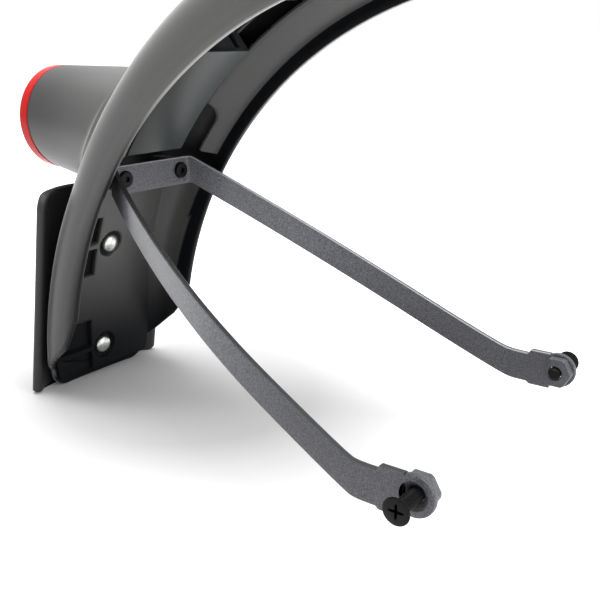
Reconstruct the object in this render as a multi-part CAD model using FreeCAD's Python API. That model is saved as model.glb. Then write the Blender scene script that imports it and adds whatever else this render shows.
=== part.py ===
import FreeCAD, Part
import math
import os

V = FreeCAD.Vector
os.makedirs("parts", exist_ok=True)

# Frame: X points forward, Y to the left of the vehicle, Z up.
# The origin is the middle of the line through the two holes at the ends of the stay.

# Wheel arc of the mudguard, seen from the side
arc_x = -10.0
arc_z = -24.2
rim_radius = 176.6
end_angle = -1.6
front_angle = 96.0

# Cross-section of the mudguard wall: a rounded arch in which the sideways share and the height share,
# each raised to a power, add up to one
rim_half_width = 37.0
arch_height = 28.0
wall = 2.8
arch_points = 6
void_floor_radius = 140.0
far = 80.0

# The arch turns squarer at the lower end, where it carries the flap
arch_power = 3.0
square_power = 4.3
square_end_angle = 6.0
arch_start_angle = 28.0
section_step = 8.0

# Slanted cut that ends the side walls at the bottom: the first two points lie ahead of the rear of the
# rim, the last one ahead of the rear of the arch, each at a height
taper_top = (3.6, 11.0)
taper_middle = (-4.9, -4.0)
taper_bottom = (3.1, -21.0)
end_half_width = 29.0
end_corner = 9.0

# Mud flap: a plate with a flat middle and sides swept forward
flap_thickness = 4.2
flap_half_width = 39.0
flap_flat_half = 15.0
flap_sweep = 9.0
flap_top = 67.0
flap_bottom = -29.0
flap_corner = 7.0
flap_reference_z = 12.0
flap_standoff = 0.428
flap_lean = 10.1

# Rivets that hold the flap
rivet_heights = (39.8, -13.6)
rivet_seat_depths = (8.4, 7.4)
rivet_shank = 4.8
rivet_head = 9.0
rivet_head_height = 3.2
rivet_boss = 13.0
rivet_tail = 8.0
rivet_tail_height = 2.0
washer_outer = 14.0
washer_thickness = 1.0
hole_clearance = 0.3

# Raised pad inside the lower end, with pockets on the right of the rivets
pad_depth = 4.4
pad_half_width = 31.0
pad_start_angle = -0.3
pad_end_angle = 28.7
pocket_inner = 8.0
pocket_outer = 27.0
pocket_rib = 2.2
pocket_length = 15.0
pocket_depth = 2.4

# Stay: one flat steel strip bent to a U
strip = 2.5
stay_cross_gap = 20.1
stay_bend = 2.5
arm_bow_start = (-60.0, 55.1)
arm_bow_radius = 340.0
arm_end_x = -22.0
arm_end_y = 60.4
arm_front = 12.0
cross_top = 79.2
cross_bottom = 66.8
cross_corner = 1.5
arm_upper_middle = (-100.8, 43.0)
arm_upper_end = (-22.1, 4.8)
arm_lower_middle = (-93.6, 26.6)
arm_lower_end = (-21.2, -7.8)
arm_upper_round = 14.0
arm_lower_round = 9.0
lug_radius = 7.2
ear_start = -11.7
ear_end = -3.4
ear_upper = 6.7
ear_lower = -8.7
ear_slope = 1.6
boss_flats = 11.8
boss_corner = 2.0
boss_height = 3.8
boss_gap = 0.4

# Screws through the ends of the arms
lug_screw_shank = 5.0
lug_screw_head = 9.2
lug_screw_head_rim = 0.4
lug_screw_length = 18.0
lug_screw_proud = 10.5
lug_sink = 9.9
recess_span = 5.2
recess_slot = 1.15
recess_depth = 2.4

# Screws and thread inserts of the cross-piece
stay_screw_y = 16.8
stay_screw_z = 73.4
stay_screw_shank = 4.0
stay_screw_head = 7.2
stay_screw_head_height = 1.6
stay_screw_length = 10.0
stay_socket = 2.5
stay_socket_depth = 1.0
stay_boss = 11.0
insert_outer = 6.4
insert_length = 8.0

# Lamp barrel on the back of the mudguard
lamp_z = 95.5
lamp_radius = 23.5
lamp_reach = 5.2
barrel_root_depth = 36.6
barrel_root_radius = 30.0
barrel_root_z = 88.9
barrel_wall = 2.4
drain_hole = 3.0
drain_setback = 10.8

# Lamp lens, seal and inside parts
lens_length = 5.9
lens_wall = 2.2
lens_round = 3.0
lens_spigot = 6.0
seal_thickness = 0.8
seal_width = 2.4
board_setback = 14.8
board_thickness = 1.6
board_radius = 19.6
post_radius = 3.0
post_circle = 16.0
post_count = 3
board_screw_shank = 2.5
board_screw_head = 4.6
board_screw_head_height = 1.7
board_screw_length = 7.0
led_size = 3.0
led_height = 1.2
led_circle = 6.0
led_count = 6
reflector_mouth = 19.4
reflector_throat = 9.8
reflector_wall = 1.0
reflector_flange = 1.4

# Cable cover inside the arch
cover_rise = 11.8
cover_thickness = 2.0
cover_half_width = 16.6
cover_start = 34.8
cover_end = 52.6
cover_flange_height = 8.2
cover_slot = (9.5, 12.5)
cover_post_angles = (38.0, 50.1)
cover_post_y = -6.0
cover_post = 7.0

# Grommet that closes the cable hole between the lamp and the arch
grommet_angle = 40.4
grommet_bore = 4.0
grommet_neck = 7.0
grommet_flange = 11.0
grommet_flange_height = 1.5
grommet_seat_gap = 0.7

# Splash walls inside the arch, sloping from the sides to the cable cover
splash_band = 6.0
splash_edge_half = 17.2
splash_thickness = 2.2
splash_end = 88.0
cable_slot_half = 26.0
cable_slot_angles = (33.5, 42.5)
cable_slot_round = 6.0

# Ribs in the open front part of the arch
rib_thickness = 2.0
rib_depth = 9.0
long_rib_y = (-9.0, 7.0)
long_rib_angles = (54.3, 88.0)
cross_rib_angles = (61.3, 74.5, 88.0)
cross_rib_half = 20.0

# Fixing tongue at the front
tongue_length = 30.0
tongue_half_width = 17.0
tongue_thickness = 4.0
tongue_overlap = 10.0
tongue_drop = 1.2
tongue_hole = 5.5
tongue_hole_y = 9.0
tongue_hole_setback = 11.0
tongue_corner = 6.0


# Places that follow from the arc and the section
arch_top = rim_radius + arch_height
rim_rear = arc_x - rim_radius
arch_rear = arc_x - arch_top
pad_radius = arch_top - wall - pad_depth
pocket_floor_radius = pad_radius + pocket_depth
stay_cross_x = rim_rear + stay_cross_gap
cross_reach = stay_cross_x + cross_corner
lamp_mouth_x = arch_rear - lamp_reach
barrel_root_x = rim_rear + barrel_root_depth
drain_x = lamp_mouth_x + drain_setback
lens_back_x = lamp_mouth_x - seal_thickness - lens_length
board_x = lamp_mouth_x + board_setback
cover_radius = rim_radius + cover_rise
cover_outer = cover_radius + cover_thickness
cover_flange_top = cover_outer + cover_flange_height


def at(angle, y, radius):
    """Point at an angle up from the rear, a sideways place and a radius."""
    a = math.radians(angle)
    return V(arc_x - radius * math.cos(a), y, arc_z + radius * math.sin(a))


def radial(angle):
    a = math.radians(angle)
    return V(-math.cos(a), 0, math.sin(a))


def along(edge):
    """Direction of an edge at its start."""
    return edge.tangentAt(edge.FirstParameter)


def cylinder(radius, start, direction, length):
    return Part.makeCylinder(radius, length, start, direction)


def ring_sector(inner, outer, y0, y1, angle0, angle1):
    """Block between two radii, two sideways places and two angles."""
    corners = [at(angle0, y, r) for y, r in ((y0, inner), (y0, outer), (y1, outer), (y1, inner))]
    face = Part.Face(Part.makePolygon(corners + corners[:1]))
    return face.revolve(V(arc_x, 0, arc_z), V(0, 1, 0), angle1 - angle0)


def half_arch(angle, inset):
    """Points of half the arched section at an angle, from rim to top, moved in by an inset."""
    part = (angle - square_end_angle) / (arch_start_angle - square_end_angle)
    power = square_power + (arch_power - square_power) * min(max(part, 0.0), 1.0)
    points = []
    for i in range(arch_points + 1):
        t = math.radians(90.0 * i / arch_points)
        y = (rim_half_width - inset) * abs(math.cos(t)) ** (2 / power)
        height = (arch_height - inset) * math.sin(t) ** (2 / power)
        points.append((y if i < arch_points else 0.0, rim_radius + height))
    return points


def arch_edge(half, angle):
    whole = half + [(-y, r) for y, r in reversed(half[:-1])]
    curve = Part.BSplineCurve()
    curve.interpolate([at(angle, y, r) for y, r in whole])
    return curve.toShape()


def all_sections(inset):
    count = round((front_angle - end_angle) / section_step)
    angles = [end_angle + (front_angle - end_angle) * i / count for i in range(count + 1)]
    return [(angle, half_arch(angle, inset)) for angle in angles]


def skin_wire(angle, outer, inner):
    """Closed outline of the wall: outer arch, rounded rim, inner arch, rounded rim."""
    edge_mid = (rim_half_width - wall / 2, rim_radius - wall / 3)
    loop = [arch_edge(outer, angle), arch_edge(inner, angle)]
    for side in (1, -1):
        p = [at(angle, side * y, r) for y, r in (outer[0], edge_mid, inner[0])]
        loop.append(Part.Arc(p[0], p[1], p[2]).toShape())
    return Part.Wire(Part.__sortEdges__(loop))


def void_wire(angle, half):
    """Outline of an arch closed by a straight floor well below the rim."""
    foot = half[0]
    floor = [(foot[0], void_floor_radius), (-foot[0], void_floor_radius)]
    right, left = at(angle, foot[0], foot[1]), at(angle, -foot[0], foot[1])
    low_right, low_left = [at(angle, y, r) for y, r in floor]
    loop = [arch_edge(half, angle), Part.makeLine(left, low_left), Part.makeLine(low_left, low_right)]
    loop.append(Part.makeLine(low_right, right))
    return Part.Wire(Part.__sortEdges__(loop))


def prism_xz(points, y0, y1):
    face = Part.Face(Part.makePolygon([V(x, y0, z) for x, z in points + points[:1]]))
    return face.extrude(V(0, y1 - y0, 0))


def void_loft(inset):
    return Part.makeLoft([void_wire(a, half) for a, half in all_sections(inset)], True, False)


outer_rows = all_sections(0.0)
inner_rows = all_sections(wall)
skin = Part.makeLoft([skin_wire(o[0], o[1], i[1]) for o, i in zip(outer_rows, inner_rows)], True, False)
# Everything below the middle of the wall; added pieces end there, inside the wall
core = void_loft(wall / 2)
added = []
removed = []


def lamp_circle(x, z, radius):
    return Part.Wire(Part.makeCircle(radius, V(x, 0, z), V(1, 0, 0)))


# Lamp barrel, a tube that flares from its mouth into the arch
def barrel_cone(inset):
    mouth = lamp_circle(lamp_mouth_x, lamp_z, lamp_radius - inset)
    root = lamp_circle(barrel_root_x, barrel_root_z, barrel_root_radius - inset)
    return Part.makeLoft([mouth, root], True, False)


added.append(barrel_cone(0.0).cut([barrel_cone(barrel_wall), core]))


def lamp_spots(circle, count):
    """Sideways places and heights evenly spaced on a circle about the lamp axis, from its lowest point."""
    spots = []
    for i in range(count):
        a = 2 * math.pi * i / count
        spots.append((circle * math.sin(a), lamp_z - circle * math.cos(a)))
    return spots


# Lamp board posts stand on the arch inside the barrel
post_spots = lamp_spots(post_circle, post_count)
board_front = board_x + board_thickness
for y, z in post_spots:
    post = cylinder(post_radius, V(board_front, y, z), V(1, 0, 0), barrel_root_x - board_front)
    added.append(post.cut(core))
    removed.append(cylinder(board_screw_shank / 2, V(board_front, y, z), V(1, 0, 0),
                            board_screw_length - board_thickness))

flap_turn = math.radians(flap_lean)
flap_normal = V(-math.cos(flap_turn), 0, math.sin(flap_turn))
# Where the flap's front face stands behind the back of the arch
flap_x = arc_x - math.sqrt(arch_top ** 2 - (flap_reference_z - arc_z) ** 2) - flap_standoff


def flap_point(z):
    """Point on the middle of the flap's front face at a height."""
    x = flap_x + (z - flap_reference_z) * math.tan(flap_turn)
    return V(x, 0, z)


# Raised pad inside the lower end, with pockets on the right of the rivets
pad = ring_sector(pad_radius, arch_top, -pad_half_width, pad_half_width,
                  pad_start_angle, pad_end_angle).common(core)
rivet_points = [flap_point(z) for z in rivet_heights]
seats = [p - flap_normal * d for p, d in zip(rivet_points, rivet_seat_depths)]
half_turn = math.degrees(pocket_length / pad_radius)
rib_turn = math.degrees(pocket_rib / 2 / pad_radius)
for seat in seats:
    angle = math.degrees(math.atan2(seat.z - arc_z, arc_x - seat.x))
    for low, high in ((angle - half_turn, angle - rib_turn), (angle + rib_turn, angle + half_turn)):
        pad = pad.cut(ring_sector(pad_radius - wall, pocket_floor_radius,
                                  -pocket_outer, -pocket_inner, low, high))
added.append(pad)

# Flat bosses that carry the rivets through the wall to the flap
for seat, depth in zip(seats, rivet_seat_depths):
    added.append(cylinder(rivet_boss / 2, seat, flap_normal, depth))
    removed.append(cylinder(rivet_boss / 2, seat - flap_normal * 2 * wall, flap_normal, 2 * wall))
    removed.append(cylinder(rivet_shank / 2 + hole_clearance, seat, flap_normal, depth))

# Stay bosses with holes for the thread inserts
stay_back = stay_cross_x - strip
for side in (-1, 1):
    foot = V(stay_back, side * stay_screw_y, stay_screw_z)
    added.append(cylinder(stay_boss / 2, foot, V(-1, 0, 0), far).common(core))
    removed.append(cylinder(insert_outer / 2, foot, V(-1, 0, 0), insert_length))

# Ribs in the front part of the arch
rib_inner = arch_top - wall - rib_depth
for y in long_rib_y:
    rib = ring_sector(rib_inner, arch_top, y - rib_thickness / 2, y + rib_thickness / 2,
                      long_rib_angles[0], long_rib_angles[1])
    added.append(rib.common(core))
cross_turn = math.degrees(rib_thickness / 2 / arch_top)
for angle in cross_rib_angles:
    rib = ring_sector(rib_inner, arch_top, -cross_rib_half, cross_rib_half,
                      angle - cross_turn, angle + cross_turn)
    added.append(rib.common(core))

# Splash walls, the left one with a slot where the cable passes
splash_foot = rim_half_width - wall / 2
splash_low = rim_radius + splash_band
for side in (-1, 1):
    section = [(splash_foot, splash_low), (splash_edge_half, cover_radius),
               (splash_edge_half, cover_radius + splash_thickness),
               (splash_foot, splash_low + splash_thickness)]
    corners = [at(cover_start, side * y, r) for y, r in section]
    face = Part.Face(Part.makePolygon(corners + corners[:1]))
    added.append(face.revolve(V(arc_x, 0, arc_z), V(0, 1, 0), splash_end - cover_start))
slot = ring_sector(splash_low, cover_radius + 2 * splash_thickness, splash_edge_half - wall,
                   cable_slot_half, cable_slot_angles[0], cable_slot_angles[1])
slot_end = max(slot.Edges, key=lambda e: e.CenterOfMass.y + e.CenterOfMass.z)
removed.append(slot.makeFillet(cable_slot_round, [slot_end]))

# Posts for the cable cover, the hole for the grommet and the drain under the barrel
for angle in cover_post_angles:
    post = cylinder(cover_post / 2, at(angle, cover_post_y, cover_outer), radial(angle),
                    arch_top - cover_outer)
    added.append(post.common(core))
removed.append(cylinder(grommet_neck / 2 + hole_clearance, at(grommet_angle, 0, arch_top - 2 * wall),
                        radial(grommet_angle), 3 * wall))
drain_foot = V(drain_x, 0, lamp_z - 2 * lamp_radius)
removed.append(cylinder(drain_hole / 2, drain_foot, V(0, 0, 1), 2 * lamp_radius))

# Fixing tongue at the front, its top face inside the wall of the arch
top = at(front_angle, 0, arch_top)
tongue_top = top.z - tongue_drop
tongue_root = top.x - tongue_overlap
tongue_tip = top.x + tongue_length
tongue = Part.makeBox(tongue_tip - tongue_root, 2 * tongue_half_width, tongue_thickness,
                      V(tongue_root, -tongue_half_width, tongue_top - tongue_thickness))
tip_edges = [e for e in tongue.Edges if abs(e.CenterOfMass.x - tongue_tip) < 1e-6
             and along(e).z ** 2 > 0.9]
added.append(tongue.makeFillet(tongue_corner, tip_edges))
tongue_hole_x = tongue_tip - tongue_hole_setback
for side in (-1, 1):
    hole_foot = V(tongue_hole_x, side * tongue_hole_y, tongue_top - 2 * tongue_thickness)
    removed.append(cylinder(tongue_hole / 2, hole_foot, V(0, 0, 1), 3 * tongue_thickness))

# Slanted lower ends of the side walls; the middle runs on to the bottom
taper_line = [(rim_rear + taper_top[0], taper_top[1]), (rim_rear + taper_middle[0], taper_middle[1]),
              (arch_rear + taper_bottom[0], taper_bottom[1])]
taper = prism_xz(taper_line + [(taper_line[2][0], -far), (-far, -far), (-far, taper_top[1])], -far, far)
end_z = at(end_angle, 0, arch_top).z
middle = Part.makeBox(2 * far, 2 * end_half_width, 2 * far, V(-3 * far, -end_half_width, end_z))
low_edges = [e for e in middle.Edges if along(e).x ** 2 > 0.9 and e.CenterOfMass.z < end_z + 1e-6]
middle = middle.makeFillet(end_corner, low_edges)
removed.append(taper.cut(middle))

shell = skin.fuse(added).cut(removed).removeSplitter()
shell.exportStep("parts/mudguard_shell.step")

# Mud flap
flap_arc_width = flap_half_width - flap_flat_half
flap_radius = (flap_arc_width ** 2 + flap_sweep ** 2) / (2 * flap_sweep)
flap_angle = math.asin(flap_arc_width / flap_radius)


def flap_curve(radius_change):
    """Front or back line of the flap seen from above: middle flat and two side arcs."""
    radius = flap_radius + radius_change
    ends = []
    for part in (0.0, 0.5, 1.0):
        a = flap_angle * part
        ends.append(V(flap_radius - radius * math.cos(a), flap_flat_half + radius * math.sin(a), 0))
    mirror = [V(p.x, -p.y, 0) for p in ends]
    return [Part.Arc(ends[2], ends[1], ends[0]).toShape(), Part.makeLine(ends[0], mirror[0]),
            Part.Arc(mirror[0], mirror[1], mirror[2]).toShape()], ends[2], mirror[2]


front_line, front_a, front_b = flap_curve(0.0)
back_line, back_a, back_b = flap_curve(flap_thickness)
flap_loop = front_line + [Part.makeLine(front_b, back_b)] + back_line + [Part.makeLine(back_a, front_a)]
flap_height = (flap_top - flap_bottom) / math.cos(flap_turn)
flap = Part.Face(Part.Wire(Part.__sortEdges__(flap_loop))).extrude(V(0, 0, flap_height))
# rounded corners cut by an outline seen from behind
window = Part.makeBox(2 * far, 2 * flap_half_width + 2 * flap_thickness, flap_height,
                      V(-far, -flap_half_width - flap_thickness, 0))
window_corners = [e for e in window.Edges if along(e).x ** 2 > 0.9]
flap = flap.common(window.makeFillet(flap_corner + flap_thickness, window_corners))
flap.rotate(V(0, 0, 0), V(0, 1, 0), flap_lean)
flap.translate(flap_point(flap_bottom))
for point in rivet_points:
    flap = flap.cut(cylinder(rivet_shank / 2 + hole_clearance, point, flap_normal, flap_thickness))
flap.exportStep("parts/mud_flap.step")

# Rivets with domed heads inside, and their washers behind the flap
rivets = []
washers = []
head_ball = (rivet_head ** 2 / 4 + rivet_head_height ** 2) / (2 * rivet_head_height)
for seat, depth in zip(seats, rivet_seat_depths):
    ball = Part.makeSphere(head_ball, seat - flap_normal * (rivet_head_height - head_ball))
    head = ball.common(cylinder(rivet_head, seat - flap_normal * rivet_head_height, flap_normal,
                                rivet_head_height))
    back = depth + flap_thickness + washer_thickness
    shank = cylinder(rivet_shank / 2, seat, flap_normal, back)
    tail = cylinder(rivet_tail / 2, seat + flap_normal * back, flap_normal, rivet_tail_height)
    tail_rim = max(tail.Edges, key=lambda e: e.CenterOfMass.dot(flap_normal))
    tail = tail.makeFillet(rivet_tail_height / 2, [tail_rim])
    rivets.append(head.fuse([shank, tail]).removeSplitter())
    ring_start = seat + flap_normal * (depth + flap_thickness)
    ring = cylinder(washer_outer / 2, ring_start, flap_normal, washer_thickness)
    bore = cylinder(rivet_shank / 2 + hole_clearance, ring_start, flap_normal, washer_thickness)
    washers.append(ring.cut(bore))
Part.makeCompound(rivets).exportStep("parts/flap_rivets.step")
Part.makeCompound(washers).exportStep("parts/flap_rivet_washers.step")


# Stay: a U of strip seen from above, cut to the side outline of the blank
def plan_region(offset):
    """Area enclosed by one face of the bent strip, seen from above and offset outward."""
    bow_x, bow_y = arm_bow_start
    turn = math.atan2(arm_end_y - bow_y, arm_end_x - bow_x)
    centre = V(bow_x + arm_bow_radius * math.sin(turn), bow_y - arm_bow_radius * math.cos(turn), 0)
    radius = arm_bow_radius + offset
    cross_x = stay_cross_x - offset
    start = math.asin((centre.x - cross_x) / radius)
    bow = []
    for a in (start, (start + turn) / 2, turn):
        bow.append(centre + V(-math.sin(a), math.cos(a), 0) * radius)
    side = bow + [V(arm_end_x, arm_end_y + offset, 0), V(arm_front, arm_end_y + offset, 0)]
    other = [V(p.x, -p.y, 0) for p in side]
    edges = [Part.makeLine(other[0], side[0]), Part.makeLine(side[4], other[4])]
    for p in (side, other):
        edges.append(Part.Arc(p[0], p[1], p[2]).toShape())
        edges.append(Part.makeLine(p[2], p[3]))
        edges.append(Part.makeLine(p[3], p[4]))
    face = Part.Face(Part.Wire(Part.__sortEdges__(edges)))
    block = face.extrude(V(0, 0, 2 * far))
    corners = [e for e in block.Edges if abs(e.CenterOfMass.x - cross_x) < 1e-6
               and along(e).z ** 2 > 0.9]
    block = block.makeFillet(stay_bend + offset, corners)
    block.translate(V(0, 0, -far / 2))
    return block


def xz(point):
    return V(point[0], 0, point[1])


def line_of(points):
    return [Part.makeLine(xz(a), xz(b)) for a, b in zip(points[:-1], points[1:])]


lug_half = math.sqrt(lug_radius ** 2 - ear_end ** 2)
upper_path = [arm_upper_end, (ear_start - ear_slope, arm_upper_end[1]), (ear_start, ear_upper),
              (ear_end, ear_upper), (ear_end, lug_half)]
lower_path = [(ear_end, -lug_half), (ear_end, ear_lower), (ear_start, ear_lower),
              (ear_start - ear_slope, arm_lower_end[1]), arm_lower_end]
back_path = [(cross_reach, cross_bottom), (stay_cross_x - 2 * strip, cross_bottom),
             (stay_cross_x - 2 * strip, cross_top), (cross_reach, cross_top)]
blank = [Part.Arc(xz(back_path[-1]), xz(arm_upper_middle), xz(arm_upper_end)).toShape()]
blank += line_of(upper_path)
blank += [Part.Arc(xz(upper_path[-1]), V(lug_radius, 0, 0), xz(lower_path[0])).toShape()]
blank += line_of(lower_path)
blank += [Part.Arc(xz(arm_lower_end), xz(arm_lower_middle), xz(back_path[0])).toShape()]
blank += line_of(back_path)
blank_face = Part.Face(Part.Wire(Part.__sortEdges__(blank)))
blank_face.translate(V(0, -far, 0))
blank_block = blank_face.extrude(V(0, 2 * far, 0))
for corner, radius in ((arm_upper_end, arm_upper_round), (arm_lower_end, arm_lower_round)):
    bend = [e for e in blank_block.Edges if along(e).y ** 2 > 0.9
            and (e.CenterOfMass - xz(corner)).Length < strip]
    blank_block = blank_block.makeFillet(radius, bend)
stay = plan_region(strip).cut(plan_region(0.0)).common(blank_block)

outer_y = arm_end_y + strip
sink_depth = lug_sink / 2 - lug_screw_shank / 2 - hole_clearance
for side in (-1, 1):
    hexagon = []
    for i in range(7):
        a = math.radians(60 * i)
        reach = boss_flats / 2 / math.cos(math.radians(30))
        hexagon.append(V(reach * math.cos(a), side * arm_end_y, reach * math.sin(a)))
    boss = Part.Face(Part.makePolygon(hexagon)).extrude(V(0, -side * boss_height, 0))
    boss = boss.makeFillet(boss_corner, [e for e in boss.Edges if along(e).y ** 2 > 0.9])
    boss = boss.common(Part.makeBox(2 * lug_radius, 4 * far, 4 * lug_radius,
                                    V(ear_end + boss_gap, -2 * far, -2 * lug_radius)))
    stay = stay.fuse(boss)
    bore = cylinder(lug_screw_shank / 2 + hole_clearance, V(0, side * far, 0), V(0, -side, 0), far / 2)
    sink = Part.makeCone(lug_sink / 2, lug_screw_shank / 2 + hole_clearance, sink_depth,
                         V(0, side * outer_y, 0), V(0, -side, 0))
    screw_front = V(stay_cross_x + strip, side * stay_screw_y, stay_screw_z)
    hole = cylinder(stay_screw_shank / 2 + hole_clearance, screw_front, V(-1, 0, 0), 3 * strip)
    stay = stay.cut(bore.fuse([sink, hole]))
stay = stay.removeSplitter()
stay.exportStep("parts/stay_bracket.step")

# Countersunk screws standing proud in the ends of the arms
lug_screws = []
head_cone = (lug_screw_head - lug_screw_shank) / 2
for side in (-1, 1):
    face_y = side * (outer_y + lug_screw_proud)
    inward = V(0, -side, 0)
    rim = cylinder(lug_screw_head / 2, V(0, face_y, 0), inward, lug_screw_head_rim)
    cone = Part.makeCone(lug_screw_head / 2, lug_screw_shank / 2, head_cone,
                         V(0, face_y, 0) + inward * lug_screw_head_rim, inward)
    shank = cylinder(lug_screw_shank / 2, V(0, face_y, 0), inward, lug_screw_length)
    tip = max(shank.Edges, key=lambda e: e.CenterOfMass.dot(inward))
    screw = rim.fuse([cone, shank.makeChamfer(lug_screw_head_rim, [tip])])
    slot_y = min(face_y, face_y - side * recess_depth)
    for wide, tall in ((recess_span, recess_slot), (recess_slot, recess_span)):
        screw = screw.cut(Part.makeBox(wide, recess_depth, tall, V(-wide / 2, slot_y, -tall / 2)))
    lug_screws.append(screw.removeSplitter())
Part.makeCompound(lug_screws).exportStep("parts/arm_end_screws.step")

# Screws of the cross-piece and the brass inserts they turn in
stay_screws = []
inserts = []
for side in (-1, 1):
    seat = V(stay_cross_x, side * stay_screw_y, stay_screw_z)
    head = cylinder(stay_screw_head / 2, seat, V(1, 0, 0), stay_screw_head_height)
    front_rim = max(head.Edges, key=lambda e: e.CenterOfMass.x)
    head = head.makeFillet(stay_screw_head_height / 2, [front_rim])
    shank = cylinder(stay_screw_shank / 2, seat, V(-1, 0, 0), stay_screw_length)
    socket = cylinder(stay_socket / 2, seat + V(stay_screw_head_height - stay_socket_depth, 0, 0), V(1, 0, 0),
                      stay_socket_depth)
    stay_screws.append(head.fuse(shank).cut(socket).removeSplitter())
    foot = seat - V(strip, 0, 0)
    sleeve = cylinder(insert_outer / 2, foot, V(-1, 0, 0), insert_length)
    thread = cylinder(stay_screw_shank / 2 + hole_clearance, foot, V(-1, 0, 0), insert_length)
    inserts.append(sleeve.cut(thread))
Part.makeCompound(stay_screws).exportStep("parts/stay_screws.step")
Part.makeCompound(inserts).exportStep("parts/stay_thread_inserts.step")

# Lamp lens: a cap with a rounded edge and a spigot that enters the barrel
backward = V(-1, 0, 0)
lens_seat_x = lamp_mouth_x - seal_thickness
spigot_radius = lamp_radius - barrel_wall - hole_clearance
cap = cylinder(lamp_radius, V(lens_seat_x, 0, lamp_z), backward, lens_seat_x - lens_back_x)
cap_rim = min(cap.Edges, key=lambda e: e.CenterOfMass.x)
cap = cap.makeFillet(lens_round, [cap_rim])
spigot_end = lens_seat_x + lens_spigot
spigot = cylinder(spigot_radius, V(spigot_end, 0, lamp_z), backward, lens_spigot)
hollow = cylinder(spigot_radius - lens_wall, V(spigot_end, 0, lamp_z), backward,
                  spigot_end - lens_back_x - lens_wall)
lens = cap.fuse(spigot).cut(hollow).removeSplitter()
lens.exportStep("parts/lamp_lens.step")

seal = cylinder(lamp_radius - hole_clearance, V(lamp_mouth_x, 0, lamp_z), backward, seal_thickness)
seal = seal.cut(cylinder(lamp_radius - seal_width, V(lamp_mouth_x, 0, lamp_z), backward, seal_thickness))
seal.exportStep("parts/lens_seal.step")

# Lamp board with its light-emitting diodes and screws
board = cylinder(board_radius, V(board_front, 0, lamp_z), backward, board_thickness)
board_screws = []
for y, z in post_spots:
    seat = V(board_x, y, z)
    board = board.cut(cylinder(board_screw_shank / 2 + hole_clearance, V(board_front, y, z), backward,
                               board_thickness))
    head = cylinder(board_screw_head / 2, seat, backward, board_screw_head_height)
    shank = cylinder(board_screw_shank / 2, seat, V(1, 0, 0), board_screw_length)
    board_screws.append(head.fuse(shank).removeSplitter())
board.exportStep("parts/lamp_board.step")
Part.makeCompound(board_screws).exportStep("parts/lamp_board_screws.step")

leds = []
for y, z in lamp_spots(led_circle, led_count):
    leds.append(Part.makeBox(led_height, led_size, led_size,
                             V(board_x - led_height, y - led_size / 2, z - led_size / 2)))
Part.makeCompound(leds).exportStep("parts/lamp_leds.step")

# Reflector cone between the board and the lens
profile = [(board_x, reflector_throat), (spigot_end, reflector_mouth), (spigot_end, spigot_radius),
           (spigot_end + reflector_flange, spigot_radius),
           (spigot_end + reflector_flange, reflector_mouth + reflector_wall),
           (board_x, reflector_throat + reflector_wall)]
points = [V(x, 0, lamp_z + r) for x, r in profile]
cone_face = Part.Face(Part.makePolygon(points + points[:1]))
reflector = cone_face.revolve(V(0, 0, lamp_z), V(1, 0, 0), 360)
reflector.exportStep("parts/lamp_reflector.step")

# Cable cover with a slotted flange at its front end
cover = ring_sector(cover_radius, cover_outer, -cover_half_width, cover_half_width, cover_start, cover_end)
flange_turn = math.degrees(cover_thickness / cover_radius)
flange = ring_sector(cover_radius, cover_flange_top, -cover_half_width, cover_half_width,
                     cover_end - flange_turn, cover_end)
gap = ring_sector(cover_outer, cover_flange_top + wall, cover_slot[0], cover_slot[1],
                  cover_end - 2 * flange_turn, cover_end + flange_turn)
cover = cover.fuse(flange.cut(gap)).removeSplitter()
cover.exportStep("parts/cable_cover.step")

# Grommet with a flange on each side of the wall
spoke = radial(grommet_angle)
inner_face = at(grommet_angle, 0, arch_top - wall - grommet_seat_gap)
outer_face = at(grommet_angle, 0, arch_top + hole_clearance)
neck = cylinder(grommet_neck / 2, inner_face, spoke, wall + grommet_seat_gap + hole_clearance)
grommet = neck.fuse([cylinder(grommet_flange / 2, inner_face, spoke * -1, grommet_flange_height),
                     cylinder(grommet_flange / 2, outer_face, spoke, grommet_flange_height)])
grommet = grommet.cut(cylinder(grommet_bore / 2, inner_face - spoke * 3 * wall, spoke, 8 * wall))
grommet.removeSplitter().exportStep("parts/cable_grommet.step")
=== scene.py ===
import math
import bmesh
import bpy
import numpy as np
from mathutils import Matrix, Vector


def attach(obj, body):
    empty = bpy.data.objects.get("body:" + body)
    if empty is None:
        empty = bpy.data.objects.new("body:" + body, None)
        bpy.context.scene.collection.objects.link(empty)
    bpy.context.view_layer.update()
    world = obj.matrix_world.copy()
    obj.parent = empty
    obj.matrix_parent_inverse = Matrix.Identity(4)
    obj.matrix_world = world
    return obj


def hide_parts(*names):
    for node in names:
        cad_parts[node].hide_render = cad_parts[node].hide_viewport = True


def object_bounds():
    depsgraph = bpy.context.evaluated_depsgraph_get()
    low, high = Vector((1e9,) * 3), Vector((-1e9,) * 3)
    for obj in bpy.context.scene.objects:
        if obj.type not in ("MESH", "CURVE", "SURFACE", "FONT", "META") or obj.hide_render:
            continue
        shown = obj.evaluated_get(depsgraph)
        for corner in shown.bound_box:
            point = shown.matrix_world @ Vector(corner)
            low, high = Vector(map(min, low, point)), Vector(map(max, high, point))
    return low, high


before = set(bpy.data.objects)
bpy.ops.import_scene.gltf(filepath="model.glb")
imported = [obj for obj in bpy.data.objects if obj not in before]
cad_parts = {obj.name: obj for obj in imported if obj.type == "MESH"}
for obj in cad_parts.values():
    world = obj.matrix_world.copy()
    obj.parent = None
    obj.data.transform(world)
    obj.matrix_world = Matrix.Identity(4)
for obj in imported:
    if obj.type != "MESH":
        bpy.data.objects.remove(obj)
cadBox = [list(corner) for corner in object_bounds()]
print("frame loaded:", len(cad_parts), "nodes")

# every length below is in millimetres; meshes are written in metres
mm = 0.001

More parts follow.
